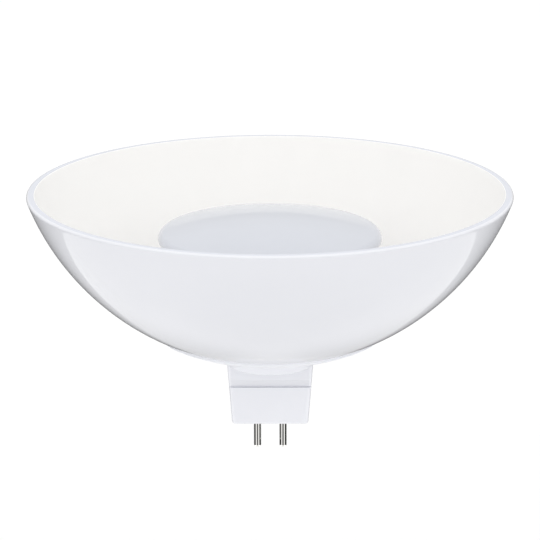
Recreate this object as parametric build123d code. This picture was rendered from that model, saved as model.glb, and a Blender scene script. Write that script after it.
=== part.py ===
from build123d import *
import math
import os

# A low-voltage LED lamp with a two-pin base, a round lamp head and a wide bowl shade.
# Millimetres. The origin lies between the pins on the seating face of the base.
# +Z points to the bowl's mouth and +X runs along the pin spacing.

# Bowl shade
mouth_radius = 49.2          # outer edge of the rim before its rounding
shade_depth = 34.2           # from the flat floor's underside up to the rim
shade_bulge = 2.95           # how much the sphere's radius exceeds the mouth's
shade_wall = 1.75
foot_radius = 23.2           # raised disc round the floor's underside
foot_step = 0.45
foot_edge_round = 0.2
rim_outer_round = 0.5
rim_inner_round = 0.3

# Base block: the lower cap and the upper housing share one tapered outline
block_width = 15.7           # at the seating face, along X
block_depth = 8.4            # at the seating face, along Y
side_draft = 0.074           # widening of each narrow side per millimetre of height
face_draft = 0.042           # widening of each broad face per millimetre of height
block_edge_round = 0.8
cap_foot_round = 0.55
cap_height = 8.2             # parting line, and ledge that holds the lamp in its holder
cap_floor = 2.0
block_wall = 1.1
tongue_height = 1.2          # tongues of the cap inside the housing
tongue_wall = 0.8
retention_depth = 0.45       # recess above the ledge on both broad faces
retention_height = 1.6
block_height = 12.55

# Collar on the base block that carries the shade
collar_height = 2.4
collar_radius = 9.8
collar_taper = 0.3           # the collar's foot is smaller by this
collar_foot_round = 0.3
collar_floor = 1.0

# Contact pins
pin_pitch = 5.33
pin_radius = 0.75
pin_length = 6.4
pin_tip_round = 0.45
pin_shank_radius = 0.95      # moulded into the cap's floor
pin_flange_radius = 1.4
pin_flange_height = 0.8
pin_tail_radius = 0.5
pin_tail_height = 1.4

# Lamp housing: the cup in the bowl, with its neck and snap legs
neck_radius = 7.7
neck_wall = 1.2
neck_entry = 1.3             # how far the neck goes into the collar
shoulder_radius = 9.4
shoulder_margin = 0.3        # flat of the shade's floor beyond the shoulder
head_height = 21.35          # from the shoulder to the housing's rim
head_radius = 21.3
housing_wall = 1.3
ledge_width = 1.6
leg_thickness = 1.0
leg_width = 4.0
leg_end_gap = 0.3            # above the cap's tongues
hook_reach = 0.35
hook_height = 0.8
hook_rise = 0.5              # hook above the end of its leg

# Diffuser
diffuser_overhang = 1.45     # beyond the housing's rim, with a rounded lower edge
diffuser_flange = 0.65       # from the housing's rim up to the widest line
diffuser_rise = 4.05
diffuser_edge_round = 1.6
diffuser_wall = 1.3
skirt_wall = 1.2
bead_height = 0.6
bead_reach = 0.25

# Light source
board_drop = 2.0             # top of the LED board below the housing's rim
board_thickness = 1.2
pad_thickness = 0.5
pad_margin = 2.4             # between the pad and the housing's bore
spreader_thickness = 1.5
spreader_wall = 1.2
spreader_skirt = 10.0        # height of the heat spreader's skirt
led_count = 12
led_margin = 1.8             # between the packages and the diffuser's skirt
led_length = 3.5
led_width = 2.8
led_height = 0.7
screw_count = 3
screw_ring_radius = 9.5
screw_radius = 1.2
screw_head_radius = 2.2
screw_head_height = 1.3
screw_boss_wall = 1.1
screw_boss_height = 3.0
screw_tip = 0.5              # screw beyond the boss

# Driver
driver_face = 0.9            # component side of the board, from the middle plane
driver_thickness = 1.0
driver_width = 11.6
driver_height = 21.8
driver_stop = 1.2            # support of the board above the cap's floor
rail_thickness = 0.7
rail_grip = 0.6
capacitor_radius = 3.15
capacitor_height = 7.0
capacitor_groove = 1.0       # crimp above the can's foot
capacitor_crimp = 0.25
inductor_radius = 3.0
inductor_height = 3.0
inductor_flange = 0.6
inductor_waist = 0.8
rectifier_size = (4.0, 1.5, 3.0)
chip_size = (3.0, 1.1, 1.8)
diode_size = (2.6, 1.0, 1.6)
resistor_size = (2.0, 0.55, 1.25)
package_bevel = 0.12
chip_spacing = 2.6           # chip and diode either side of the middle
component_gap = 0.6

# Leads
input_lead_radius = 0.3
input_bend = 0.8
input_rise = 2.2             # from the pin's tail to the hole in the driver board
led_lead_radius = 0.55
led_lead_bend = 1.5
led_lead_offset = 4.4        # each side of the middle plane
led_lead_run = 2.0           # straight end on the LED board
led_lead_margin = 1.9        # hole below the driver board's top edge
lead_hole_play = 0.8
lead_stub = 0.3

# Fits
fit_gap = 0.1                # sliding fits between moulded pieces
press_gap = 0.03             # pins, screws and soldered leads in their holes


# Levels and radii that follow from the sizes above
seat_z = block_height + collar_height
rim_z = seat_z + shade_depth
sphere_outer = mouth_radius + shade_bulge
sphere_inner = sphere_outer - shade_wall
sphere_z = rim_z + math.sqrt(sphere_outer**2 - mouth_radius**2)
shade_floor_radius = shoulder_radius + shoulder_margin
shade_floor_z = sphere_z - math.sqrt(sphere_inner**2 - shade_floor_radius**2)

head_rim_z = shade_floor_z + head_height
board_top_z = head_rim_z - board_drop
board_z = board_top_z - board_thickness
pad_z = board_z - pad_thickness
ledge_z = pad_z - spreader_thickness
band_z = ledge_z - housing_wall
head_bore = head_radius - housing_wall
skirt_radius = head_bore - fit_gap
skirt_bore = skirt_radius - skirt_wall
led_ring_radius = skirt_bore - led_margin - led_width / 2
ledge_radius = head_bore - ledge_width
neck_bore = neck_radius - neck_wall
neck_end_z = seat_z - neck_entry
collar_floor_z = block_height + collar_floor
cavity_face = block_wall + retention_depth

cone_slope = (head_radius - shoulder_radius) / (band_z - shade_floor_z)
cone_stretch = math.hypot(1, cone_slope)
leg_outer = cap_height * side_draft + block_width / 2 - block_wall - fit_gap
leg_end_z = cap_height + tongue_height + leg_end_gap
hook_z = leg_end_z + hook_rise

driver_z = cap_floor + driver_stop
driver_top_z = driver_z + driver_height
driver_back = driver_face + driver_thickness
tail_top_z = cap_floor + pin_flange_height + pin_tail_height
input_hole_z = tail_top_z + input_rise
led_lead_y = driver_face - led_lead_bend
led_hole_z = driver_top_z - led_lead_margin
lead_hole_radius = led_lead_radius + lead_hole_play


def place(x, y, z):
    """Location without rotation."""
    return Location((x, y, z))


def turned(*edges):
    """Solid of revolution about Z from edges that close a half section in XZ."""
    return revolve(make_face(Wire(list(edges))), Axis.Z)


def section(*points):
    """Closed half section of straight lines, as points of radius and height."""
    return revolve(make_face(Polyline(*[(r, 0, z) for r, z in points], close=True)), Axis.Z)


def rod(radius, z0, z1, x=0.0, y=0.0):
    """Round bar along Z."""
    return place(x, y, z0) * Cylinder(radius, z1 - z0, align=(Align.CENTER, Align.CENTER, Align.MIN))


def bar(x0, x1, y0, y1, z0, z1):
    """Box between two corners."""
    middle = place((x0 + x1) / 2, (y0 + y1) / 2, (z0 + z1) / 2)
    return middle * Box(x1 - x0, y1 - y0, z1 - z0)


def block_outline(z, end_inset=0.0, face_inset=0.0):
    """Outline of the base block at a height, drawn in from its narrow ends and its broad faces."""
    width = block_width + 2 * side_draft * z - 2 * end_inset
    depth = block_depth + 2 * face_draft * z - 2 * face_inset
    return place(0, 0, z) * RectangleRounded(width, depth, block_edge_round)


def block_between(z0, z1, end_inset=0.0, face_inset=0.0):
    """Tapered block between two heights, drawn in as its outline is."""
    return loft([block_outline(z, end_inset, face_inset) for z in (z0, z1)], ruled=True)


def ring_points(count, radius):
    """Evenly spaced places on a circle, with their angles."""
    for i in range(count):
        angle = 90 + 360 * i / count
        yield angle, radius * math.cos(math.radians(angle)), radius * math.sin(math.radians(angle))


def cone_inside(z, play=0.0):
    """Radius of the housing's conical inner wall at a height."""
    outside = shoulder_radius + cone_slope * (z - shade_floor_z)
    return outside - (housing_wall + play) * cone_stretch


def on_bowl(size, radius):
    """Point of the half section on a sphere of the bowl, at a radius from the axis."""
    return (radius, 0, sphere_z - math.sqrt(size**2 - radius**2))


def bowl_arc(size, start, end):
    """Arc of the half section on a sphere of the bowl, between two radii from the axis."""
    middle = (start + end) / 2
    return ThreePointArc(on_bowl(size, start), on_bowl(size, middle), on_bowl(size, end))


def circle_through(bowl, point):
    """Circle of the bowl through a point of its half section."""
    circles = bowl.edges().filter_by(GeomType.CIRCLE)
    return min(circles, key=lambda edge: math.dist(point, (edge.radius, 0, edge.arc_center.Z)))


def make_bowl_shade():
    """Spherical bowl with a flat rim, a raised foot disc and a flat floor, pierced for the neck."""
    foot_outer = sphere_outer + foot_step
    seat_radius = math.sqrt(foot_outer**2 - (sphere_z - seat_z) ** 2)
    mouth_inner = math.sqrt(sphere_inner**2 - (sphere_z - rim_z) ** 2)
    hole = neck_radius + fit_gap
    rim_outside = (mouth_radius, 0, rim_z)
    rim_inside = (mouth_inner, 0, rim_z)
    foot_edge = on_bowl(foot_outer, foot_radius)
    bowl = turned(
        Line((hole, 0, seat_z), (seat_radius, 0, seat_z)),
        bowl_arc(foot_outer, seat_radius, foot_radius),
        Line(foot_edge, on_bowl(sphere_outer, foot_radius)),
        bowl_arc(sphere_outer, foot_radius, mouth_radius),
        Line(rim_outside, rim_inside),
        bowl_arc(sphere_inner, mouth_inner, shade_floor_radius),
        Line((shade_floor_radius, 0, shade_floor_z), (hole, 0, shade_floor_z)),
        Line((hole, 0, shade_floor_z), (hole, 0, seat_z)),
    )
    bowl = fillet(circle_through(bowl, rim_outside), rim_outer_round)
    bowl = fillet(circle_through(bowl, rim_inside), rim_inner_round)
    return fillet(circle_through(bowl, foot_edge), foot_edge_round)


def make_lamp_housing():
    """Conical cup with a snap groove at its rim, a shoulder, a neck and two snap legs."""
    floor_z = shade_floor_z + housing_wall
    cone_top_z = shade_floor_z + (ledge_radius + housing_wall * cone_stretch - shoulder_radius) / cone_slope
    cup = section(
        (neck_radius, neck_end_z),
        (neck_radius, shade_floor_z),
        (shoulder_radius, shade_floor_z),
        (head_radius, band_z),
        (head_radius, head_rim_z),
        (head_bore, head_rim_z),
        (head_bore, ledge_z),
        (ledge_radius, ledge_z),
        (ledge_radius, cone_top_z),
        (cone_inside(floor_z), floor_z),
        (neck_bore, floor_z),
        (neck_bore, neck_end_z),
    )
    groove_half = bead_height / 2 + fit_gap
    groove_z = head_rim_z - board_drop / 2
    cup -= section(
        (head_bore - fit_gap, groove_z - groove_half),
        (head_bore + bead_reach, groove_z),
        (head_bore - fit_gap, groove_z + groove_half),
    )
    for side in (-1, 1):
        outer = side * leg_outer
        inner = side * (leg_outer - leg_thickness)
        tip = side * (leg_outer + hook_reach)
        half = leg_width / 2
        cup += bar(min(inner, outer), max(inner, outer), -half, half, leg_end_z, shade_floor_z)
        hook = Polyline(
            (outer, -half, hook_z - hook_height / 2),
            (tip, -half, hook_z + hook_height / 2),
            (outer, -half, hook_z + hook_height / 2),
            close=True,
        )
        cup += extrude(make_face(hook), leg_width, dir=(0, 1, 0))
    return cup


def make_heat_spreader():
    """Aluminium disc on the housing's ledge, with a skirt along the cone and bosses for the screws."""
    skirt_top = ledge_radius - fit_gap
    corner_z = shade_floor_z
    corner_z += (skirt_top + (housing_wall + fit_gap) * cone_stretch - shoulder_radius) / cone_slope
    foot_z = ledge_z - spreader_skirt
    foot_radius = cone_inside(foot_z, fit_gap)
    thick = spreader_wall * cone_stretch
    cup = section(
        (0, ledge_z),
        (skirt_top - thick, ledge_z),
        (skirt_top - thick, corner_z),
        (foot_radius - thick, foot_z),
        (foot_radius, foot_z),
        (skirt_top, corner_z),
        (skirt_top, ledge_z),
        (head_bore - fit_gap, ledge_z),
        (head_bore - fit_gap, pad_z),
        (0, pad_z),
    )
    boss_radius = screw_radius + screw_boss_wall
    for _, x, y in ring_points(screw_count, screw_ring_radius):
        cup += rod(boss_radius, ledge_z - screw_boss_height, ledge_z, x, y)
        cup -= rod(screw_radius + press_gap, ledge_z - screw_boss_height, pad_z, x, y)
    return pierce_for_leads(cup, ledge_z, pad_z)


def pierce_for_leads(plate, z0, z1):
    """Cuts the two holes for the LED leads."""
    for side in (-1, 1):
        plate -= rod(lead_hole_radius, z0, z1, side * led_lead_offset, led_lead_y)
    return plate


def make_plate(radius, z0, z1):
    """Round plate with holes for the screws and the LED leads."""
    plate = rod(radius, z0, z1)
    for _, x, y in ring_points(screw_count, screw_ring_radius):
        plate -= rod(screw_radius + fit_gap, z0, z1, x, y)
    return pierce_for_leads(plate, z0, z1)


def make_led_packages():
    """Ring of flat LED packages on the board."""
    packages = []
    for angle, x, y in ring_points(led_count, led_ring_radius):
        body = Box(led_width, led_length, led_height, align=(Align.CENTER, Align.CENTER, Align.MIN))
        packages.append(Location((x, y, board_top_z), (0, 0, angle)) * body)
    return packages


def make_board_screws():
    """Round-headed screws through the board into the spreader's bosses."""
    tip_z = ledge_z - screw_boss_height - screw_tip
    screws = []
    for _, x, y in ring_points(screw_count, screw_ring_radius):
        head = rod(screw_head_radius, board_top_z, board_top_z + screw_head_height, x, y)
        head = fillet(head.edges().group_by(Axis.Z)[-1], screw_head_height / 2)
        screws.append(head + rod(screw_radius, tip_z, board_top_z, x, y))
    return screws


def make_diffuser_dome():
    """Shallow opal dome with a rounded edge, a flange and a skirt with a snap bead."""
    radius = head_radius + diffuser_overhang
    edge_z = head_rim_z + diffuser_flange
    top_z = edge_z + diffuser_rise
    bead_z = head_rim_z - board_drop / 2
    # The dome's sphere touches the edge rounding from outside.
    reach = radius - diffuser_edge_round
    crown = diffuser_rise - diffuser_edge_round
    sphere = (reach**2 + crown * (diffuser_rise + diffuser_edge_round)) / (2 * crown)
    centre_z = top_z - sphere
    turn = math.atan2(edge_z - centre_z, reach)
    inner = sphere - diffuser_wall

    def on_edge(angle):
        x = reach + diffuser_edge_round * math.cos(angle)
        return (x, 0, edge_z + diffuser_edge_round * math.sin(angle))

    def on_sphere(size, angle):
        return (size * math.cos(angle), 0, centre_z + size * math.sin(angle))

    under = diffuser_flange * math.sqrt(0.5)
    under_middle = (radius - diffuser_flange + under, 0, edge_z - under)
    inner_turn = math.acos(skirt_bore / inner)
    inner_end = on_sphere(inner, inner_turn)
    middle = (turn + math.pi / 2) / 2
    inner_middle = (inner_turn + math.pi / 2) / 2
    outside = Polyline(
        inner_end,
        (skirt_bore, 0, board_top_z),
        (skirt_radius, 0, board_top_z),
        (skirt_radius, 0, bead_z - bead_height / 2),
        (skirt_radius + bead_reach, 0, bead_z),
        (skirt_radius, 0, bead_z + bead_height / 2),
        (skirt_radius, 0, head_rim_z),
        (radius - diffuser_flange, 0, head_rim_z),
    )
    return turned(
        *outside.edges(),
        ThreePointArc(outside @ 1, under_middle, (radius, 0, edge_z)),
        ThreePointArc(on_edge(0), on_edge(turn / 2), on_edge(turn)),
        ThreePointArc(on_sphere(sphere, turn), on_sphere(sphere, middle), (0, 0, top_z)),
        Line((0, 0, top_z), (0, 0, centre_z + inner)),
        ThreePointArc((0, 0, centre_z + inner), on_sphere(inner, inner_middle), inner_end),
    )


def make_socket_housing():
    """Upper base block with the retention recess, the collar under the shade and pockets for the hooks."""
    recess_top = cap_height + retention_height
    recessed = block_outline(cap_height, face_inset=retention_depth)
    lower = loft([recessed, block_outline(recess_top)], ruled=True)
    upper = block_between(recess_top, block_height)
    collar = section(
        (0, block_height),
        (collar_radius - collar_taper, block_height),
        (collar_radius, seat_z),
        (0, seat_z),
    )
    collar = fillet(collar.edges().group_by(Axis.Z)[0], collar_foot_round)
    housing = lower + upper + collar
    housing -= block_between(cap_height, collar_floor_z, block_wall, cavity_face)
    housing -= rod(neck_radius + fit_gap, collar_floor_z, seat_z)
    pocket_x = leg_outer + hook_reach + fit_gap
    pocket_y = leg_width / 2 + fit_gap
    pocket_z = hook_z + hook_height / 2 + press_gap
    pocket_foot = pocket_z - hook_height - fit_gap
    return housing - bar(-pocket_x, pocket_x, -pocket_y, pocket_y, pocket_foot, pocket_z)


def make_base_cap():
    """Tapered cap with pin holes, rails for the driver board and two tongues that go into the housing."""
    cap = block_between(0, cap_height)
    cap = fillet(cap.edges().group_by(Axis.Z)[0], cap_foot_round)
    tongue_end = block_wall + fit_gap
    tongue_top = cap_height + tongue_height
    cap += block_between(cap_height, tongue_top, tongue_end, cavity_face + fit_gap)
    cap -= block_between(cap_floor, tongue_top, tongue_end + tongue_wall, cavity_face)
    for side in (-1, 1):
        cap += make_board_rail(side)
        cap -= rod(pin_shank_radius + press_gap, 0, cap_floor, side * pin_pitch / 2)
    return cap


def make_board_rail(side):
    """Channel on one end wall of the cap that the driver board slides into, with a stop at its foot."""
    wall_x = block_width / 2 - block_wall
    wall_y = block_depth / 2 - block_wall
    grip_x = driver_width / 2 - rail_grip
    front = driver_face - fit_gap
    back = driver_back + fit_gap
    ends = sorted((side * grip_x, side * wall_x))
    channel = bar(*ends, front - rail_thickness, wall_y, cap_floor, cap_height)
    slot_x = sorted((side * grip_x, side * (driver_width / 2 + fit_gap)))
    return channel - bar(*slot_x, front, back, driver_z, cap_height)


def make_contact_pin(x):
    """Turned pin with a rounded tip, a shank and flange in the cap's floor and a soldering tail."""
    pin = rod(pin_radius, -pin_length, 0, x)
    pin = fillet(pin.edges().group_by(Axis.Z)[0], pin_tip_round)
    pin += rod(pin_shank_radius, 0, cap_floor, x)
    flange_top = cap_floor + pin_flange_height
    pin += rod(pin_flange_radius, cap_floor, flange_top, x)
    return pin + rod(pin_tail_radius, flange_top, tail_top_z, x)


def make_driver_board():
    """Circuit board that stands in the base, with holes for the four leads."""
    board = bar(-driver_width / 2, driver_width / 2, driver_face, driver_back, driver_z, driver_top_z)
    for side in (-1, 1):
        holes = (
            (side * pin_pitch / 2, input_hole_z, input_lead_radius),
            (side * led_lead_offset, led_hole_z, led_lead_radius),
        )
        for x, z, radius in holes:
            drill = Location((x, driver_face, z), (-90, 0, 0))
            board -= drill * Cylinder(radius + press_gap, 2 * driver_thickness)
    return board


def on_driver(size, x, z, back=False):
    """Box-shaped component on the face of the driver board, standing on a height."""
    width, depth, height = size
    y0, y1 = (driver_back, driver_back + depth) if back else (driver_face - depth, driver_face)
    body = bar(x - width / 2, x + width / 2, y0, y1, z, z + height)
    return chamfer(body.edges().filter_by(Axis.Y), package_bevel)


def make_power_inductor(z):
    """Drum core with a wound waist, standing on the driver board."""
    middle = Location((0, driver_face, z), (90, 0, 0))
    waist = inductor_radius - inductor_waist
    drum = section(
        (0, 0),
        (inductor_radius, 0),
        (inductor_radius, inductor_flange),
        (waist, inductor_flange),
        (waist, inductor_height - inductor_flange),
        (inductor_radius, inductor_height - inductor_flange),
        (inductor_radius, inductor_height),
        (0, inductor_height),
    )
    return middle * drum


def make_capacitor(z):
    """Round can with a crimped groove near its foot, lying against the driver board."""
    can = rod(capacitor_radius, 0, capacitor_height)
    can = fillet(can.edges().group_by(Axis.Z)[-1], capacitor_crimp)
    can -= section(
        (capacitor_radius, capacitor_groove - capacitor_crimp),
        (capacitor_radius, capacitor_groove + capacitor_crimp),
        (capacitor_radius - capacitor_crimp, capacitor_groove),
    )
    return place(0, driver_face - capacitor_radius, z) * can


def make_lead(radius, points, bends):
    """Round lead along straight runs joined by arcs."""
    path = FilletPolyline(*points, radius=bends)
    start = Plane(origin=path @ 0, z_dir=path % 0)
    return sweep(start * Circle(radius), path=path)


def make_input_lead(side):
    """Tinned wire from a pin's tail up and back through the driver board."""
    x = side * pin_pitch / 2
    route = [(x, 0, tail_top_z), (x, 0, input_hole_z), (x, driver_back + lead_stub, input_hole_z)]
    return make_lead(input_lead_radius, route, input_bend)


def make_led_lead(side):
    """Insulated wire from the driver board up through the spreader onto the LED board."""
    x = side * led_lead_offset
    lie_z = board_top_z + led_lead_radius + press_gap
    end_x = x + side * (led_lead_bend + led_lead_run)
    route = [
        (x, driver_back + lead_stub, led_hole_z),
        (x, led_lead_y, led_hole_z),
        (x, led_lead_y, lie_z),
        (end_x, led_lead_y, lie_z),
    ]
    return make_lead(led_lead_radius, route, led_lead_bend)


rectifier_z = driver_z + component_gap
inductor_z = rectifier_z + rectifier_size[2] + component_gap + inductor_radius
chip_z = inductor_z + inductor_radius + component_gap
capacitor_z = chip_z + chip_size[2] + component_gap

pieces = {
    "bowl_shade": make_bowl_shade(),
    "lamp_housing": make_lamp_housing(),
    "heat_spreader": make_heat_spreader(),
    "thermal_pad": make_plate(head_bore - pad_margin, pad_z, board_z),
    "led_board": make_plate(head_bore - fit_gap, board_z, board_top_z),
    "led_packages": Compound(children=make_led_packages()),
    "board_screws": Compound(children=make_board_screws()),
    "diffuser_dome": make_diffuser_dome(),
    "socket_housing": make_socket_housing(),
    "base_cap": make_base_cap(),
    "contact_pin_left": make_contact_pin(-pin_pitch / 2),
    "contact_pin_right": make_contact_pin(pin_pitch / 2),
    "driver_board": make_driver_board(),
    "bridge_rectifier": on_driver(rectifier_size, 0, rectifier_z),
    "power_inductor": make_power_inductor(inductor_z),
    "driver_chip": on_driver(chip_size, -chip_spacing, chip_z),
    "freewheel_diode": on_driver(diode_size, chip_spacing, chip_z),
    "smoothing_capacitor": make_capacitor(capacitor_z),
    "sense_resistor": on_driver(resistor_size, 0, chip_z, back=True),
    "input_lead_left": make_input_lead(-1),
    "input_lead_right": make_input_lead(1),
    "led_lead_negative": make_led_lead(-1),
    "led_lead_positive": make_led_lead(1),
}

os.makedirs("parts", exist_ok=True)
for name, shape in pieces.items():
    export_step(shape, f"parts/{name}.step")
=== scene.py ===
import math

import bpy
from mathutils import Matrix


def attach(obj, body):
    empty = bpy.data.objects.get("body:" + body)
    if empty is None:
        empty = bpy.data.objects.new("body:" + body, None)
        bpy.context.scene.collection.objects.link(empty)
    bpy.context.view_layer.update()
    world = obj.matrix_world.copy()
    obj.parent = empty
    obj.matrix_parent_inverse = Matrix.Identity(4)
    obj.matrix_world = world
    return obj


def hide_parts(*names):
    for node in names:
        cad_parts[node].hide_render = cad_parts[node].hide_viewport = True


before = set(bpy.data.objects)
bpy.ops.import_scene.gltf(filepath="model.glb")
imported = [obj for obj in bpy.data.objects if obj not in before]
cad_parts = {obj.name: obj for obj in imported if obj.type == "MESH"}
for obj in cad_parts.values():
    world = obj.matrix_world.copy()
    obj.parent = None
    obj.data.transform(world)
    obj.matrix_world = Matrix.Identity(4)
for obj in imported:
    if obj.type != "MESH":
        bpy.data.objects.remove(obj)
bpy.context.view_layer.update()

bpy.ops.object.select_all(action="DESELECT")

# Contact pins
# Two brass pins, turned on a lathe and nickel plated, with rounded tips.
# Each one is pressed into the base cap up to its flange and soldered to a lead above it.
mm = 0.001
quarter_turn = math.pi / 2
section_weld = 0.002 * mm
section_crease = math.radians(28)
noise_low = 0.3
noise_high = 0.7
pin_pitch = 5.33 * mm
pin_radius = 0.75 * mm
pin_length = 6.4 * mm
pin_tip_round = 0.45 * mm
pin_tip_edge = 0.04 * mm
pin_shank_radius = 0.95 * mm
pin_shank_height = 2.0 * mm
pin_flange_radius = 1.4 * mm
pin_flange_height = 0.8 * mm
pin_tail_radius = 0.5 * mm
pin_tail_height = 1.4 * mm
pin_sides = 64


def begin_section(name, radius, height):
    """A new piece with one vertex, from which its half section is drawn in the XZ plane."""
    bpy.ops.object.select_all(action="DESELECT")
    bpy.ops.mesh.primitive_plane_add(size=mm)
    piece = bpy.context.object
    piece.name = name
    piece.data.name = name
    bpy.ops.object.mode_set(mode="EDIT")
    bpy.ops.mesh.select_mode(type="VERT")
    bpy.ops.mesh.merge(type="CENTER")
    bpy.ops.transform.translate(value=(radius, 0, height))
    return piece


def draw_line(out, up):
    """Carries the section on by a straight run."""
    bpy.ops.mesh.extrude_region_move(TRANSFORM_OT_translate={"value": (out, 0, up)})


def draw_arc(centre_radius, centre_height, turn, steps):
    """Carries the section on round a centre, anticlockwise where the turn is positive."""
    bpy.ops.mesh.spin(
        steps=steps,
        angle=turn,
        center=(centre_radius, 0, centre_height),
        axis=(0, 1, 0),
        use_auto_merge=False,
    )


def spin_section(sides):
    """Spins the drawn section about the lamp's axis, closes it and turns its faces outwards."""
    bpy.ops.mesh.select_all(action="SELECT")
    bpy.ops.mesh.remove_doubles(threshold=section_weld)
    bpy.ops.mesh.select_all(action="SELECT")
    bpy.ops.mesh.spin(steps=sides, angle=math.tau, center=(0, 0, 0), axis=(0, 0, 1))
    bpy.ops.mesh.select_all(action="SELECT")
    bpy.ops.mesh.remove_doubles(threshold=section_weld)
    bpy.ops.mesh.normals_make_consistent(inside=False)
    bpy.ops.object.mode_set(mode="OBJECT")
    bpy.ops.object.shade_smooth_by_angle(angle=section_crease)


def choose(piece):
    """Makes a piece the only one that is selected."""
    bpy.ops.object.select_all(action="DESELECT")
    bpy.context.view_layer.objects.active = piece
    piece.select_set(True)


def shift_mesh(piece, out):
    """Moves a whole mesh along X inside its object."""
    choose(piece)
    bpy.ops.object.mode_set(mode="EDIT")
    bpy.ops.mesh.select_all(action="SELECT")
    bpy.ops.transform.translate(value=(out, 0, 0))
    bpy.ops.object.mode_set(mode="OBJECT")


def settle(piece, node, slot, *finishes):
    """Gives a finished piece its finishes and puts it in the place of its CAD node."""
    for finish in finishes:
        piece.data.materials.append(finish)
    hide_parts(node)
    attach(piece, "root")


def srgb(red, green, blue):
    """Linear colour of a tone that is given in 8-bit sRGB."""
    def linear(level):
        level /= 255
        return level / 12.92 if level <= 0.04045 else ((level + 0.055) / 1.055) ** 2.4
    return (linear(red), linear(green), linear(blue), 1)


def new_finish(name):
    """A new material with its node tree and its main shader."""
    finish = bpy.data.materials.new(name)
    finish.use_nodes = True
    return finish, finish.node_tree, finish.node_tree.nodes["Principled BSDF"]


def add_node(tree, kind, inputs):
    """A node whose inputs, by name or number, are set to values or linked to sockets."""
    node = tree.nodes.new(kind)
    for key, value in inputs.items():
        if isinstance(value, bpy.types.NodeSocket):
            tree.links.new(value, node.inputs[key])
        else:
            node.inputs[key].default_value = value
    return node


def noise_on_piece(tree, scale, stretch=(1, 1, 1), detail=2.0):
    """Noise in the piece's own coordinates, at a number of waves per metre."""
    place = tree.nodes.new("ShaderNodeTexCoord").outputs["Object"]
    mapping = add_node(tree, "ShaderNodeMapping", {"Vector": place, "Scale": stretch})
    where = mapping.outputs["Vector"]
    noise = add_node(tree, "ShaderNodeTexNoise", {"Vector": where, "Scale": scale, "Detail": detail})
    return noise.outputs["Fac"]


def spread(tree, noise, low, high, target):
    """Sends a noise to a socket between two values."""
    span = add_node(
        tree,
        "ShaderNodeMapRange",
        {"Value": noise, "From Min": noise_low, "From Max": noise_high, "To Min": low, "To Max": high},
    )
    tree.links.new(span.outputs["Result"], target)


def tint(tree, noise, first, second, target):
    """Sends a noise to a colour socket between two tones."""
    ramp = add_node(tree, "ShaderNodeValToRGB", {"Fac": noise})
    low_stop, high_stop = ramp.color_ramp.elements
    low_stop.position = noise_low
    high_stop.position = noise_high
    low_stop.color = first
    high_stop.color = second
    tree.links.new(ramp.outputs["Color"], target)


def relief(tree, noise, depth, shader):
    """Gives a surface the height of a noise."""
    bump = add_node(tree, "ShaderNodeBump", {"Height": noise, "Distance": depth, "Strength": 1.0})
    tree.links.new(bump.outputs["Normal"], shader.inputs["Normal"])


nickel, tree, shader = new_finish("nickel_plate")
shader.inputs["Metallic"].default_value = 1.0
turning_marks = noise_on_piece(tree, scale=900, stretch=(0.4, 0.4, 9.0))
tint(tree, turning_marks, srgb(240, 239, 235), srgb(247, 246, 243), shader.inputs["Base Color"])
spread(tree, turning_marks, low=0.015, high=0.035, target=shader.inputs["Roughness"])
relief(tree, turning_marks, depth=0.00005 * mm, shader=shader)

left_pin = begin_section("pin_left", 0, -pin_length)
draw_line(pin_radius - pin_tip_round, 0)
draw_arc(pin_radius - pin_tip_round, -pin_length + pin_tip_round, quarter_turn, steps=8)
# A ring just above the tip keeps the reflections on the long barrel straight.
draw_line(0, pin_tip_edge)
draw_line(0, pin_length - pin_tip_round - pin_tip_edge)
draw_line(pin_shank_radius - pin_radius, 0)
draw_line(0, pin_shank_height)
draw_line(pin_flange_radius - pin_shank_radius, 0)
draw_line(0, pin_flange_height)
draw_line(pin_tail_radius - pin_flange_radius, 0)
draw_line(0, pin_tail_height)
draw_line(-pin_tail_radius, 0)
spin_section(pin_sides)
bpy.ops.object.duplicate(linked=False)
right_pin = bpy.context.object
right_pin.name = "pin_right"
right_pin.data.name = "pin_right"
shift_mesh(right_pin, pin_pitch / 2)
shift_mesh(left_pin, -pin_pitch / 2)
settle(left_pin, "contact_pin_left", "pin_nickel", nickel)
settle(right_pin, "contact_pin_right", "pin_nickel", nickel)

# Base cap
# The lower half of the base, moulded in smooth white heat-resistant plastic.
# It tapers to the pins, is hollow for the driver, and its upper edge is the ledge a holder grips.
block_size = (15.7 * mm, 8.4 * mm)
block_draft = (0.074, 0.042)
block_edge_round = 0.8 * mm
cap_height = 8.2 * mm
cap_floor = 2.0 * mm
cap_foot_round = 0.55 * mm
cap_walls = (1.9 * mm, 1.55 * mm)
cap_crease = math.radians(35)
pin_hole_radius = 0.98 * mm
pin_hole_depth = 3 * cap_floor
parting_gap = 0.045 * mm
cutter_overshoot = 1.0 * mm
seam_weld = 0.001 * mm
touch = 0.01 * mm


def pick(piece, wanted):
    """Edit mode with the vertices selected whose place fits, and all that lies between them."""
    choose(piece)
    bpy.ops.object.mode_set(mode="EDIT")
    bpy.ops.mesh.select_mode(type="VERT")
    bpy.ops.mesh.select_all(action="DESELECT")
    bpy.ops.object.mode_set(mode="OBJECT")
    for vertex in piece.data.vertices:
        vertex.select = wanted(vertex.co)
    bpy.ops.object.mode_set(mode="EDIT")


def pick_edges(piece, wanted):
    """Edit mode with the edges selected whose two ends fit."""
    choose(piece)
    bpy.ops.object.mode_set(mode="EDIT")
    bpy.ops.mesh.select_mode(type="EDGE")
    bpy.ops.mesh.select_all(action="DESELECT")
    bpy.ops.object.mode_set(mode="OBJECT")
    points = piece.data.vertices
    for edge in piece.data.edges:
        first, second = edge.vertices
        edge.select = wanted(points[first].co, points[second].co)
    bpy.ops.object.mode_set(mode="EDIT")


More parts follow.
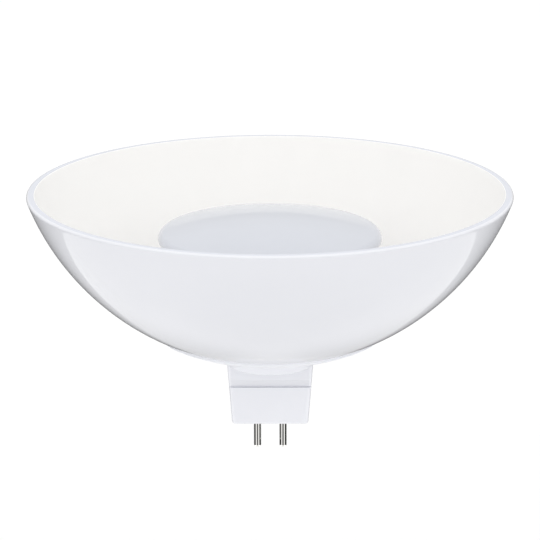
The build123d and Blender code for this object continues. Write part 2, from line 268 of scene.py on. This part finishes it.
def block_at(height):
    """Width and depth of the tapered base block at a height."""
    return [size + 2 * draft * height for size, draft in zip(block_size, block_draft)]


def add_block(name, low, high, inset=(0, 0)):
    """A cube drawn out into the base block between two heights, drawn in all round by the inset."""
    bpy.ops.object.select_all(action="DESELECT")
    foot = [size - 2 * step for size, step in zip(block_at(low), inset)]
    head = [size - 2 * step for size, step in zip(block_at(high), inset)]
    middle = (low + high) / 2
    bpy.ops.mesh.primitive_cube_add(size=1, location=(0, 0, middle), scale=(*foot, high - low))
    bpy.ops.object.transform_apply(location=True, rotation=True, scale=True)
    piece = bpy.context.object
    piece.name = name
    piece.data.name = name
    pick(piece, lambda point: point.z > high - touch)
    widening = (head[0] / foot[0], head[1] / foot[1], 1)
    bpy.ops.transform.resize(value=widening, center_override=(0, 0, 0))
    bpy.ops.object.mode_set(mode="OBJECT")
    return piece


def round_picked(radius, segments):
    """Rounds the edges that are selected and leaves edit mode."""
    bpy.ops.mesh.bevel(
        offset=radius, offset_type="OFFSET", segments=segments, profile=0.5, affect="EDGES"
    )
    bpy.ops.object.mode_set(mode="OBJECT")


def round_uprights(piece):
    """Rounds the four edges that run from the foot of a block to its head."""
    pick_edges(piece, lambda one_end, other_end: abs(one_end.z - other_end.z) > touch)
    round_picked(block_edge_round, segments=8)


def combine(piece, other, way):
    """Boolean of two meshes; the second one is used up."""
    choose(piece)
    boolean = piece.modifiers.new("combine", "BOOLEAN")
    boolean.operation = way
    boolean.solver = "EXACT"
    boolean.object = other
    bpy.ops.object.modifier_apply(modifier=boolean.name)
    bpy.data.objects.remove(other)


def clean_seams(piece):
    """Merges the doubled points that the booleans leave along their seams."""
    choose(piece)
    bpy.ops.object.mode_set(mode="EDIT")
    bpy.ops.mesh.select_mode(type="VERT")
    bpy.ops.mesh.select_all(action="SELECT")
    bpy.ops.mesh.remove_doubles(threshold=seam_weld)
    bpy.ops.mesh.dissolve_degenerate(threshold=seam_weld)
    bpy.ops.object.mode_set(mode="OBJECT")


def even_out_shading(piece, crease):
    """Smooth shading over the small roundings, with the large faces kept flat and the creases sharp."""
    choose(piece)
    bpy.ops.object.shade_smooth_by_angle(angle=crease)
    weighted = piece.modifiers.new("weighted", "WEIGHTED_NORMAL")
    weighted.keep_sharp = True
    weighted.weight = 80
    bpy.ops.object.modifier_apply(modifier=weighted.name)


def moulded_plastic(name, light, dark, rough, grain_scale, grain_depth):
    """White moulded plastic: a faint cloudiness of colour and the grain of the mould."""
    rough_play = 0.12
    finish, tree, shader = new_finish(name)
    cloud = noise_on_piece(tree, scale=130)
    tint(tree, cloud, dark, light, shader.inputs["Base Color"])
    grain = noise_on_piece(tree, grain_scale, detail=3.0)
    spread(tree, grain, rough * (1 - rough_play), rough * (1 + rough_play), shader.inputs["Roughness"])
    relief(tree, grain, grain_depth, shader)
    return finish


base_plastic = moulded_plastic(
    "base_smooth_white",
    light=srgb(239, 240, 245),
    dark=srgb(237, 238, 243),
    rough=0.09,
    grain_scale=4200,
    grain_depth=0.0003 * mm,
)

base_cap = add_block("base_cap_shell", 0, cap_height - parting_gap)
round_uprights(base_cap)
pick_edges(base_cap, lambda one_end, other_end: max(one_end.z, other_end.z) < touch)
round_picked(cap_foot_round, segments=6)
cap_hollow = add_block("cap_hollow", cap_floor, cap_height + cutter_overshoot, cap_walls)
combine(base_cap, cap_hollow, "DIFFERENCE")
for side in (-1, 1):
    bpy.ops.mesh.primitive_cylinder_add(
        vertices=pin_sides,
        radius=pin_hole_radius,
        depth=pin_hole_depth,
        location=(side * pin_pitch / 2, 0, 0),
    )
    combine(base_cap, bpy.context.object, "DIFFERENCE")
clean_seams(base_cap)
even_out_shading(base_cap, cap_crease)
settle(base_cap, "base_cap", "body_white", base_plastic)

# Driver
# A small circuit board that stands in the base with the parts of the 12 volt supply soldered on it.
# Tinned wires bring the current from the pins, and two insulated wires take it to the LEDs.
mottle_depth = 0.002 * mm


def dress(finish, *node_names):
    """Gives CAD nodes their finish."""
    for node_name in node_names:
        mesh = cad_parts[node_name].data
        mesh.materials.clear()
        mesh.materials.append(finish)


def speckled(name, first, second, rough, scale, metallic=0.0):
    """A finish of two close tones in a fine mottle, with a grain to match."""
    rough_play = 0.2
    finish, tree, shader = new_finish(name)
    shader.inputs["Metallic"].default_value = metallic
    mottle = noise_on_piece(tree, scale)
    tint(tree, mottle, first, second, shader.inputs["Base Color"])
    spread(tree, mottle, rough * (1 - rough_play), rough * (1 + rough_play), shader.inputs["Roughness"])
    relief(tree, mottle, mottle_depth, shader)
    return finish


green_mask = speckled("solder_mask_green", srgb(26, 92, 54), srgb(32, 106, 62), rough=0.35, scale=2500)
dress(green_mask, "driver_board")
epoxy = speckled("moulded_epoxy", srgb(30, 30, 32), srgb(40, 40, 43), rough=0.5, scale=5000)
dress(epoxy, "bridge_rectifier", "driver_chip", "freewheel_diode", "sense_resistor")
ferrite = speckled("ferrite", srgb(62, 62, 66), srgb(78, 78, 82), rough=0.6, scale=4000)
dress(ferrite, "power_inductor")
sleeve = speckled("can_sleeve", srgb(28, 34, 62), srgb(36, 44, 78), rough=0.3, scale=1500)
dress(sleeve, "smoothing_capacitor")
tinned = speckled(
    "tinned_wire", srgb(190, 192, 194), srgb(210, 212, 214), rough=0.25, scale=3000, metallic=1.0
)
dress(tinned, "input_lead_left", "input_lead_right")
black_cover = speckled("black_insulation", srgb(28, 28, 29), srgb(36, 36, 38), rough=0.45, scale=2000)
dress(black_cover, "led_lead_negative")
red_cover = speckled("red_insulation", srgb(172, 26, 24), srgb(190, 34, 30), rough=0.45, scale=2000)
dress(red_cover, "led_lead_positive")

# Socket housing
# The upper half of the base with the round collar that carries the bowl, in the same plastic.
# Its grained broad faces slope in to the ledge of the cap, where the springs of a holder catch, and that
# sloping band is painted darker grey as painted shade.
recess_top = 9.8 * mm
recess_depth = 0.45 * mm
recess_lean = (-0.5, -0.1)
broad_face = 0.9
block_top = 12.55 * mm
block_overlap = 0.5 * mm
seat_height = 14.95 * mm
collar_radius = 9.8 * mm
collar_taper = 0.3 * mm
collar_foot_round = 0.3 * mm
collar_floor = 13.55 * mm
collar_sides = 160
socket_walls = (1.1 * mm, 1.55 * mm)
socket_crease = math.radians(13)
neck_bore = 7.8 * mm
neck_cutter_height = 4.0 * mm
neck_cutter_start = collar_floor - 0.2 * mm

socket = add_block("socket_housing_shell", cap_height, block_top + block_overlap)
round_uprights(socket)
bpy.ops.object.mode_set(mode="EDIT")
bpy.ops.mesh.select_all(action="SELECT")
bpy.ops.mesh.bisect(plane_co=(0, 0, recess_top), plane_no=(0, 0, 1))
bpy.ops.object.mode_set(mode="OBJECT")
full_depth = block_at(cap_height)[1]
pick(socket, lambda point: point.z < (cap_height + recess_top) / 2)
bpy.ops.transform.resize(value=(1, 1 - 2 * recess_depth / full_depth, 1), center_override=(0, 0, 0))
bpy.ops.object.mode_set(mode="OBJECT")

collar_foot = collar_radius - collar_taper - collar_foot_round
collar = begin_section("collar", 0, block_top)
draw_line(collar_foot, 0)
draw_arc(collar_foot, block_top + collar_foot_round, quarter_turn, steps=8)
draw_line(collar_taper, seat_height - block_top - collar_foot_round)
draw_line(-collar_radius, 0)
spin_section(collar_sides)
combine(socket, collar, "UNION")
socket_hollow = add_block("socket_hollow", cap_height - cutter_overshoot, collar_floor, socket_walls)
combine(socket, socket_hollow, "DIFFERENCE")
bpy.ops.mesh.primitive_cylinder_add(
    vertices=collar_sides,
    radius=neck_bore,
    depth=neck_cutter_height,
    location=(0, 0, neck_cutter_start + neck_cutter_height / 2),
)
combine(socket, bpy.context.object, "DIFFERENCE")
clean_seams(socket)
even_out_shading(socket, socket_crease)


def finish_number(piece, finish):
    """Number of a finish among those of its piece."""
    return piece.data.materials.find(finish.name)


# The sloping recess band is painted a darker grey than the rest of the base: painted shade.
recess_painted_shade = moulded_plastic(
    "recess_white_painted_shade",
    light=srgb(226, 227, 232),
    dark=srgb(224, 225, 230),
    rough=0.4,
    grain_scale=3000,
    grain_depth=0.002 * mm,
)
settle(socket, "socket_housing", "body_white", base_plastic, recess_painted_shade)
# The broad faces that slope in below the recess top get the darker finish, the painted shade.
for face in socket.data.polygons:
    leans_in = recess_lean[0] < face.normal.z < recess_lean[1]
    if face.center.z < recess_top and abs(face.normal.y) > broad_face and leans_in:
        face.material_index = finish_number(socket, recess_painted_shade)

# Bowl shade
# A thin spherical bowl, moulded in white plastic: polished outside, satin inside, with a flat rim.
# Its floor, with a raised foot disc below, is clamped between the collar and the lamp housing's shoulder.
mouth_radius = 49.2 * mm
rim_height = 49.15 * mm
outer_sphere = 52.15 * mm
shade_wall = 1.75 * mm
foot_radius = 23.2 * mm
foot_step = 0.45 * mm
foot_edge_round = 0.2 * mm
floor_radius = 9.7 * mm
rim_outer_round = 0.5 * mm
rim_inner_round = 0.3 * mm
painted_highlight_height = 0.3 * mm
bowl_sides = 288
inner_sphere = outer_sphere - shade_wall
middle_sphere = outer_sphere - shade_wall / 2
foot_sphere = outer_sphere + foot_step
sphere_height = rim_height + math.sqrt(outer_sphere**2 - mouth_radius**2)
floor_height = sphere_height - math.sqrt(inner_sphere**2 - floor_radius**2)
seat_radius = math.sqrt(foot_sphere**2 - (sphere_height - seat_height) ** 2)


def below_centre(radius, height):
    """Angle of a point of the section, seen from the centre of the sphere."""
    return math.atan2(height - sphere_height, radius)


def on_sphere(sphere, radius):
    """Height of a sphere of the bowl at a radius from the axis."""
    return sphere_height - math.sqrt(sphere**2 - radius**2)


def round_centre(sphere, height):
    """Radius at which a rounding lies whose centre is on a sphere at a height."""
    return math.sqrt(sphere**2 - (sphere_height - height) ** 2)


outer_round_z = rim_height - rim_outer_round
outer_round_x = round_centre(outer_sphere - rim_outer_round, outer_round_z)
outer_end = below_centre(outer_round_x, outer_round_z)
inner_round_z = rim_height - rim_inner_round
inner_round_x = round_centre(inner_sphere + rim_inner_round, inner_round_z)
inner_start = below_centre(inner_round_x, inner_round_z)
foot_round_x = foot_radius - foot_edge_round
foot_round_z = on_sphere(foot_sphere - foot_edge_round, foot_round_x)
foot_end = below_centre(foot_round_x, foot_round_z)
shell_foot = on_sphere(outer_sphere, foot_radius)

bowl = begin_section("bowl", seat_radius, seat_height)
draw_arc(0, sphere_height, foot_end - below_centre(seat_radius, seat_height), steps=24)
draw_arc(foot_round_x, foot_round_z, -foot_end, steps=6)
draw_line(0, shell_foot - foot_round_z)
draw_arc(0, sphere_height, outer_end - below_centre(foot_radius, shell_foot), steps=84)
draw_arc(outer_round_x, outer_round_z, quarter_turn - outer_end, steps=8)
draw_line(inner_round_x - outer_round_x, 0)
draw_arc(inner_round_x, inner_round_z, quarter_turn + inner_start, steps=6)
draw_arc(0, sphere_height, below_centre(floor_radius, floor_height) - inner_start, steps=60)
draw_line(neck_bore - floor_radius, 0)
draw_line(0, seat_height - floor_height)
draw_line(seat_radius - neck_bore, 0)
spin_section(bowl_sides)

outside_gloss = moulded_plastic(
    "shade_polished_white",
    light=srgb(229, 230, 235),
    dark=srgb(228, 229, 234),
    rough=0.02,
    grain_scale=260,
    grain_depth=0.0001 * mm,
)
# The flat top of the rim is a darker grey than the bowl, partly the tone of its cut edge and partly
# painted shade.
rim_flat_tone_and_shade = moulded_plastic(
    "shade_cut_rim_and_painted_shade",
    light=srgb(223, 226, 235),
    dark=srgb(221, 224, 233),
    rough=0.16,
    grain_scale=1800,
    grain_depth=0.0005 * mm,
)
inside_satin = moulded_plastic(
    "shade_satin_white",
    light=srgb(248, 247, 245),
    dark=srgb(247, 246, 244),
    rough=0.5,
    grain_scale=3600,
    grain_depth=0.0015 * mm,
)
# The upper part of the rim's outer rounding is painted lighter than the outside of the bowl: a painted
# highlight.
rim_lip_painted_highlight = moulded_plastic(
    "shade_lip_painted_highlight",
    light=srgb(237, 238, 243),
    dark=srgb(235, 236, 241),
    rough=0.1,
    grain_scale=1800,
    grain_depth=0.0002 * mm,
)
foot_satin = moulded_plastic(
    "shade_foot_satin",
    light=srgb(240, 241, 246),
    dark=srgb(238, 239, 244),
    rough=0.45,
    grain_scale=3600,
    grain_depth=0.0012 * mm,
)
settle(bowl, "bowl_shade", "shade_white", outside_gloss, rim_flat_tone_and_shade, inside_satin, rim_lip_painted_highlight, foot_satin)


def shade_finish(centre):
    """Finish of the bowl at the centre of one of its faces."""
    from_axis = math.hypot(centre.x, centre.y)
    from_sphere_centre = math.hypot(from_axis, centre.z - sphere_height)
    # The flat top of the rim takes the darker grey finish, part cut-edge tone and part painted shade.
    if centre.z > rim_height - touch:
        return rim_flat_tone_and_shade
    # The top of the outer rim rounding takes the lighter finish, which is a painted highlight.
    if centre.z > rim_height - painted_highlight_height and from_sphere_centre > middle_sphere:
        return rim_lip_painted_highlight
    if centre.z > floor_height - touch and from_sphere_centre < middle_sphere:
        return inside_satin
    if from_sphere_centre > outer_sphere + touch or centre.z < seat_height + touch:
        return foot_satin
    return outside_gloss


for face in bowl.data.polygons:
    face.material_index = finish_number(bowl, shade_finish(face.center))

# Lamp housing
# The conical cup under the diffuser, moulded in the white plastic of the base.
# Its shoulder stands on the floor of the bowl, and two hooked legs snap into the socket housing.
dress(base_plastic, "lamp_housing")

# Light source
# A white LED board on a thermal pad and a pressed aluminium heat spreader, held by three screws.
# Twelve flat LED packages with yellow phosphor stand in a ring near its edge.
aluminium = speckled(
    "pressed_aluminium", srgb(196, 198, 200), srgb(212, 214, 216), rough=0.35, scale=1800, metallic=1.0
)
dress(aluminium, "heat_spreader")
silicone = speckled("silicone_pad", srgb(136, 138, 142), srgb(150, 152, 156), rough=0.7, scale=2200)
dress(silicone, "thermal_pad")
white_mask = speckled("white_solder_mask", srgb(234, 235, 232), srgb(241, 242, 239), rough=0.3, scale=2000)
dress(white_mask, "led_board")
phosphor = speckled("phosphor", srgb(236, 205, 92), srgb(243, 214, 110), rough=0.4, scale=3500)
dress(phosphor, "led_packages")
zinc = speckled(
    "zinc_plate", srgb(178, 180, 184), srgb(198, 200, 203), rough=0.28, scale=3000, metallic=1.0
)
dress(zinc, "board_screws")

# Diffuser
# A shallow dome of opal plastic that spreads the light of the LEDs, moulded with a skirt and a bead.
# It snaps into the rim of the lamp housing and reaches over it with a rounded edge.
housing_rim = floor_height + 21.35 * mm
dome_radius = 22.75 * mm
dome_flange = 0.65 * mm
dome_rise = 4.05 * mm
dome_edge_round = 1.6 * mm
dome_wall = 1.3 * mm
dome_sides = 224
skirt_radius = 19.9 * mm
skirt_wall = 1.2 * mm
skirt_depth = 2.0 * mm
bead_reach = 0.25 * mm
bead_half = 0.3 * mm
skirt_bore = skirt_radius - skirt_wall
widest = housing_rim + dome_flange
edge_centre = dome_radius - dome_edge_round
crown = dome_rise - dome_edge_round
dome_sphere = (edge_centre**2 + crown * (dome_rise + dome_edge_round)) / (2 * crown)
dome_centre = widest + dome_rise - dome_sphere
edge_turn = math.atan2(widest - dome_centre, edge_centre)
inner_dome = dome_sphere - dome_wall
inner_turn = math.acos(skirt_bore / inner_dome)
inner_edge = dome_centre + inner_dome * math.sin(inner_turn)

dome = begin_section("diffuser", 0, dome_centre + inner_dome)
draw_arc(0, dome_centre, inner_turn - quarter_turn, steps=30)
draw_line(0, housing_rim - skirt_depth - inner_edge)
draw_line(skirt_wall, 0)
draw_line(0, skirt_depth / 2 - bead_half)
draw_line(bead_reach, bead_half)
draw_line(-bead_reach, bead_half)
draw_line(0, skirt_depth / 2 - bead_half)
draw_line(dome_radius - dome_flange - skirt_radius, 0)
draw_arc(dome_radius - dome_flange, widest, quarter_turn, steps=10)
draw_arc(edge_centre, widest, edge_turn, steps=16)
draw_arc(0, dome_centre, quarter_turn - edge_turn, steps=48)
spin_section(dome_sides)

opal, tree, shader = new_finish("diffuser_opal")
shader.inputs["IOR"].default_value = 1.585
haze = noise_on_piece(tree, scale=90)
tint(tree, haze, srgb(206, 209, 217), srgb(208, 211, 219), shader.inputs["Base Color"])
skin = noise_on_piece(tree, scale=5200, detail=3.0)
spread(tree, skin, low=0.08, high=0.11, target=shader.inputs["Roughness"])
relief(tree, skin, depth=0.0003 * mm, shader=shader)
settle(dome, "diffuser_dome", "diffuser_opal", opal)

# Studio
# The lamp hangs above a plain pale floor, in a light tent with a white table and a graded backdrop.
# The dark gap low round the tent is what the polished bowl and the pins show as grey bands.
floor_drop = 80 * mm
floor_size = 12
floor_own_white = 0.085
pure_white = (1, 1, 1, 1)

bpy.ops.object.select_all(action="DESELECT")
bpy.ops.mesh.primitive_plane_add(size=floor_size, location=(0, 0, 0))
floor = bpy.context.object
floor.name = "floor"
bpy.ops.object.mode_set(mode="EDIT")
bpy.ops.transform.translate(value=(0, 0, -floor_drop))
bpy.ops.object.mode_set(mode="OBJECT")
floor.visible_glossy = False
floor.visible_diffuse = False


def reckon(tree, operation, first, second=0.0):
    """Result of a sum of two numbers or sockets."""
    node = add_node(tree, "ShaderNodeMath", {0: first, 1: second})
    node.operation = operation
    return node.outputs["Value"]


def plus(tree, total, *others):
    """Numbers or sockets added up."""
    for other in others:
        total = reckon(tree, "ADD", total, other)
    return total


def times(tree, product, *others):
    """Numbers or sockets multiplied."""
    for other in others:
        product = reckon(tree, "MULTIPLY", product, other)
    return product


def rest_of(tree, share):
    """What a share leaves of 1."""
    return reckon(tree, "SUBTRACT", 1.0, share)


def rise(tree, value, edge):
    """Soft step from 0 to 1 across an edge that is given by its start and end."""
    start, end = edge
    node = add_node(tree, "ShaderNodeMapRange", {"Value": value, "From Min": start, "From Max": end})
    node.interpolation_type = "SMOOTHSTEP"
    return node.outputs["Result"]


def fall(tree, value, edge):
    """Soft step from 1 to 0 across an edge."""
    return rest_of(tree, rise(tree, value, edge))


def straight_sight(tree):
    """1 where the camera looks straight or through a clear piece, and otherwise 0."""
    ray = tree.nodes.new("ShaderNodeLightPath").outputs
    return reckon(tree, "MAXIMUM", ray["Is Camera Ray"], ray["Is Transmission Ray"])


floor_paper = bpy.data.materials.new("floor_paper")
floor_paper.use_nodes = True
tree = floor_paper.node_tree
tree.nodes.clear()
paper = add_node(tree, "ShaderNodeBsdfDiffuse", {"Color": srgb(240, 240, 240)})
glow = times(tree, straight_sight(tree), floor_own_white)
own_white = add_node(tree, "ShaderNodeEmission", {"Color": pure_white, "Strength": glow})
lit = add_node(tree, "ShaderNodeAddShader", {0: paper.outputs["BSDF"], 1: own_white.outputs["Emission"]})
add_node(tree, "ShaderNodeOutputMaterial", {"Surface": lit.outputs["Shader"]})
floor.data.materials.append(floor_paper)

# Edges in the tent are shares of a direction of length 1: sideways, back and up from the lamp.
tent = bpy.data.worlds.new("light_tent")
bpy.context.scene.world = tent
tent.use_nodes = True
tree = tent.node_tree
tree.nodes.clear()
direction = tree.nodes.new("ShaderNodeTexCoord").outputs["Generated"]
axes = add_node(tree, "ShaderNodeSeparateXYZ", {"Vector": direction})
side = reckon(tree, "ABSOLUTE", axes.outputs["X"])
back = axes.outputs["Y"]
up = axes.outputs["Z"]

# The white table ends behind the lamp, in an edge that is nearer in the middle.
table_edge = (-0.418, -0.406)
table_edge_slant = 0.21
table_edge_middle = (0.0, 0.32)
table_edge_nearer = -0.13
slant = times(tree, reckon(tree, "MAXIMUM", back, 0.0), table_edge_slant)
nearer = times(tree, fall(tree, side, table_edge_middle), table_edge_nearer)
past_edge = rise(tree, plus(tree, slant, up, nearer), table_edge)

# It carries the soft shadow of the bowl, with light in its middle, and is dimmer straight below the lamp.
shadow_side = (0.05, 0.45)
shadow_back = (0.36, 0.68)
shadow_middle = (0.0, 0.14)
shadow_middle_light = 0.65
shadow_depth = 0.46
below_lamp = (-0.96, -0.84)
below_lamp_dimming = 0.15
table_level = 0.97
table_side_gain = 0.40
shadow = times(tree, fall(tree, side, shadow_side), rise(tree, back, shadow_back))
middle_light = times(tree, fall(tree, side, shadow_middle), shadow_middle_light)
shadow = times(tree, shadow, rest_of(tree, middle_light), shadow_depth)
brightness = plus(tree, table_level, times(tree, side, table_side_gain))
dimming = times(tree, fall(tree, up, below_lamp), below_lamp_dimming)
table = times(tree, rest_of(tree, shadow), brightness, rest_of(tree, dimming))

# Beyond it the tent is dark at its foot and grows lighter upwards, slowly behind and sooner at the sides.
spill_top = (-0.60, -0.40)
spill_level = 0.45
gap_level = 0.02
gap_back = (0.20, 0.55)
gap_back_gain = 0.165
backdrop_back = (0.55, 0.75)
backdrop_grade = (-0.36, 0.50)
sides_grade = (-0.22, -0.05)
front_back = (-0.56, -0.46)
room_dimming = 0.09
spill = times(tree, fall(tree, up, spill_top), spill_level)
gap = plus(tree, gap_level, times(tree, rise(tree, back, gap_back), gap_back_gain))
foot_tone = plus(tree, spill, gap)
behind = rise(tree, back, backdrop_back)
sides_open = reckon(tree, "MAXIMUM", rise(tree, up, sides_grade), fall(tree, back, front_back))
sides_open = times(tree, sides_open, rest_of(tree, behind))
back_open = times(tree, rise(tree, up, backdrop_grade), behind)
opening = plus(tree, sides_open, back_open)
room = plus(tree, foot_tone, times(tree, opening, rest_of(tree, foot_tone)))
room = times(tree, room, rest_of(tree, times(tree, back, room_dimming)))

# A dark card stands low in front, below the camera.
card_side = (0.38, 0.50)
card_back = (-0.50, -0.40)
card_foot = (-0.48, -0.43)
card_head = (-0.30, -0.24)
card_depth = 0.85
card = times(tree, fall(tree, side, card_side), fall(tree, back, card_back))
card = times(tree, card, rise(tree, up, card_foot), fall(tree, up, card_head), card_depth)

# The lamp gets this light and reflects it, and the camera itself sees plain white.
tent_level = 1.09
level = plus(tree, times(tree, past_edge, room), times(tree, rest_of(tree, past_edge), table))
level = times(tree, level, rest_of(tree, card), tent_level)
studio = add_node(tree, "ShaderNodeBackground", {"Color": pure_white, "Strength": level})
plain = add_node(tree, "ShaderNodeBackground", {"Color": pure_white, "Strength": 1.0})
shown = add_node(
    tree,
    "ShaderNodeMixShader",
    {0: straight_sight(tree), 1: studio.outputs["Background"], 2: plain.outputs["Background"]},
)
add_node(tree, "ShaderNodeOutputWorld", {"Surface": shown.outputs["Shader"]})

eye_distance = 427.1 * mm
eye_height = 158.9 * mm
look_down = math.radians(16.54)
camera_roll = math.radians(-0.10)
camera_data = bpy.data.cameras.new("photo_camera")
camera_data.lens = 145.39
camera_data.sensor_width = 36
camera_data.clip_start = 0.01
camera_data.clip_end = 50
camera = bpy.data.objects.new("photo_camera", camera_data)
bpy.context.scene.collection.objects.link(camera)
eye = Matrix.Translation((0, -eye_distance, eye_height))
tilt = Matrix.Rotation(quarter_turn - look_down, 4, "X")
roll = Matrix.Rotation(camera_roll, 4, "Z")
camera.matrix_world = eye @ tilt @ roll
bpy.context.scene.camera = camera
bpy.context.scene.view_settings.view_transform = "Standard"
